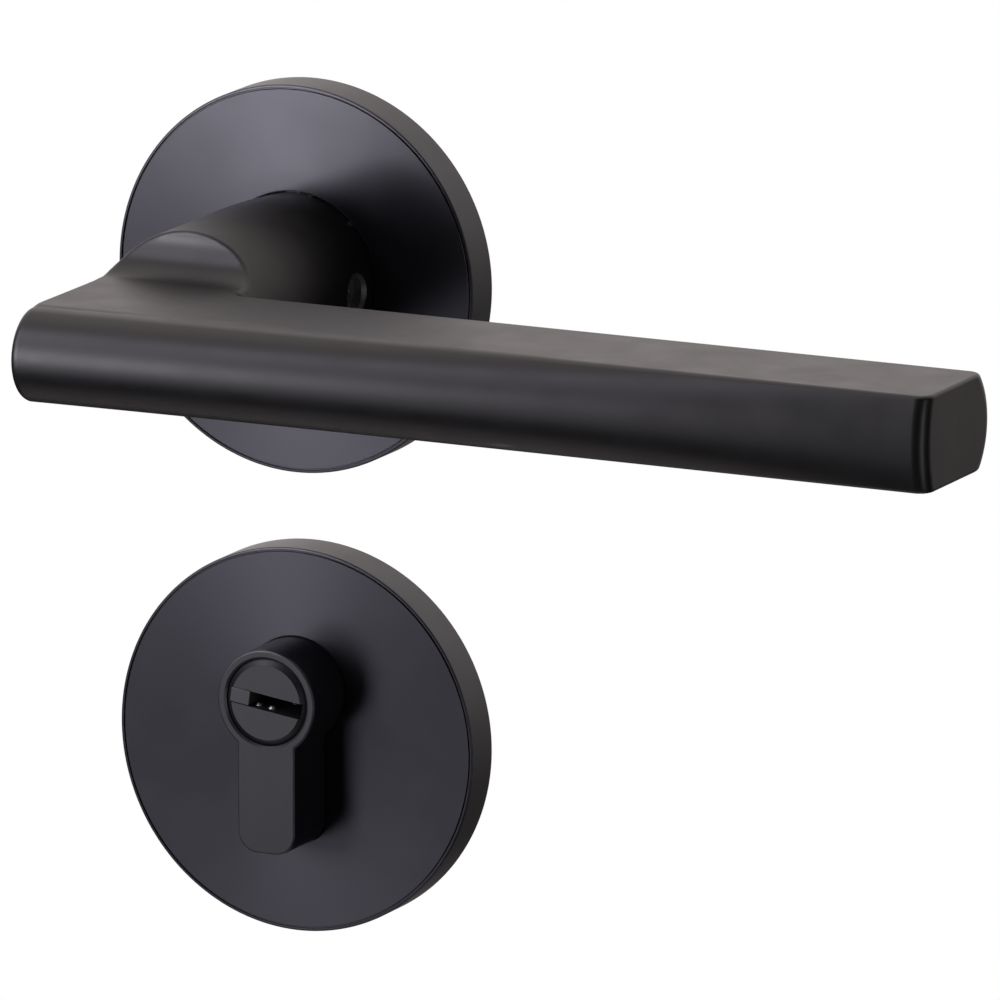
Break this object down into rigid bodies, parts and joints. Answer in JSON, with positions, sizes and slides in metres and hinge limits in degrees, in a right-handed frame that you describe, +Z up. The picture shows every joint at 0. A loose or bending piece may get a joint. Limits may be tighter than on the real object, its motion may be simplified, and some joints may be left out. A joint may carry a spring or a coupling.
{
  "type": "lever handle lockset",
  "caption": "Sprung lever handle on a round rose with square spindle, and a keyed half cylinder in a matching round escutcheon.",
  "frame": {"origin": "spindle axis at the door face, midway between the rose's two fixing holes", "axes": "-Y out of the door towards the user, +X along the lever from the spindle to its tip, +Z up"},
  "size_m": [0.1705, 0.1173, 0.1362],
  "materials": {
    "lever_black": "satin black coating",
    "cover_black": "satin black coating",
    "cylinder_black": "matte black coating on brass",
    "steel": "zinc plated",
    "spring_steel": "oiled spring wire",
    "nylon": "black moulded nylon",
    "pin_brass": "turned brass",
    "pin_nickel": "nickel plated, turned"
  },
  "bodies": {
    "door_set": {"rose_base": "steel", "rose_cover": "cover_black", "rose_snap_ring": "spring_steel", "neck_bush": "nylon", "thrust_washer": "steel", "return_spring": "spring_steel", "escutcheon_base": "steel", "escutcheon_cover": "cover_black", "escutcheon_snap_ring": "spring_steel", "cylinder_housing": "cylinder_black", "driver_pins": "pin_brass", "pin_springs": "spring_steel", "chamber_plugs": "pin_brass"},
    "lever_set": {"lever_handle": "lever_black", "lever_set_screw": "steel", "spindle": "steel", "spring_driver": "steel", "retaining_circlip": "spring_steel"},
    "plug_set": {"cylinder_plug": "cylinder_black", "keyway_insert": "cylinder_black", "lower_key_pins": "pin_nickel", "upper_key_pins": "pin_nickel", "plug_clip": "spring_steel", "cylinder_cam": "steel"}
  },
  "joints": [
    {"name": "lever_turn", "type": "hinge", "parent": "door_set", "child": "lever_set", "pos_m": [0, 0, 0], "axis": [0, 1, 0], "range_deg": [-45, 45], "stiffness_Nm_per_rad": 1.2, "springref_deg": -6.3, "deforming": ["return_spring"]},
    {"name": "plug_turn", "type": "hinge", "parent": "door_set", "child": "plug_set", "pos_m": [0, 0, -0.066], "axis": [0, 1, 0], "continuous": true}
  ]
}
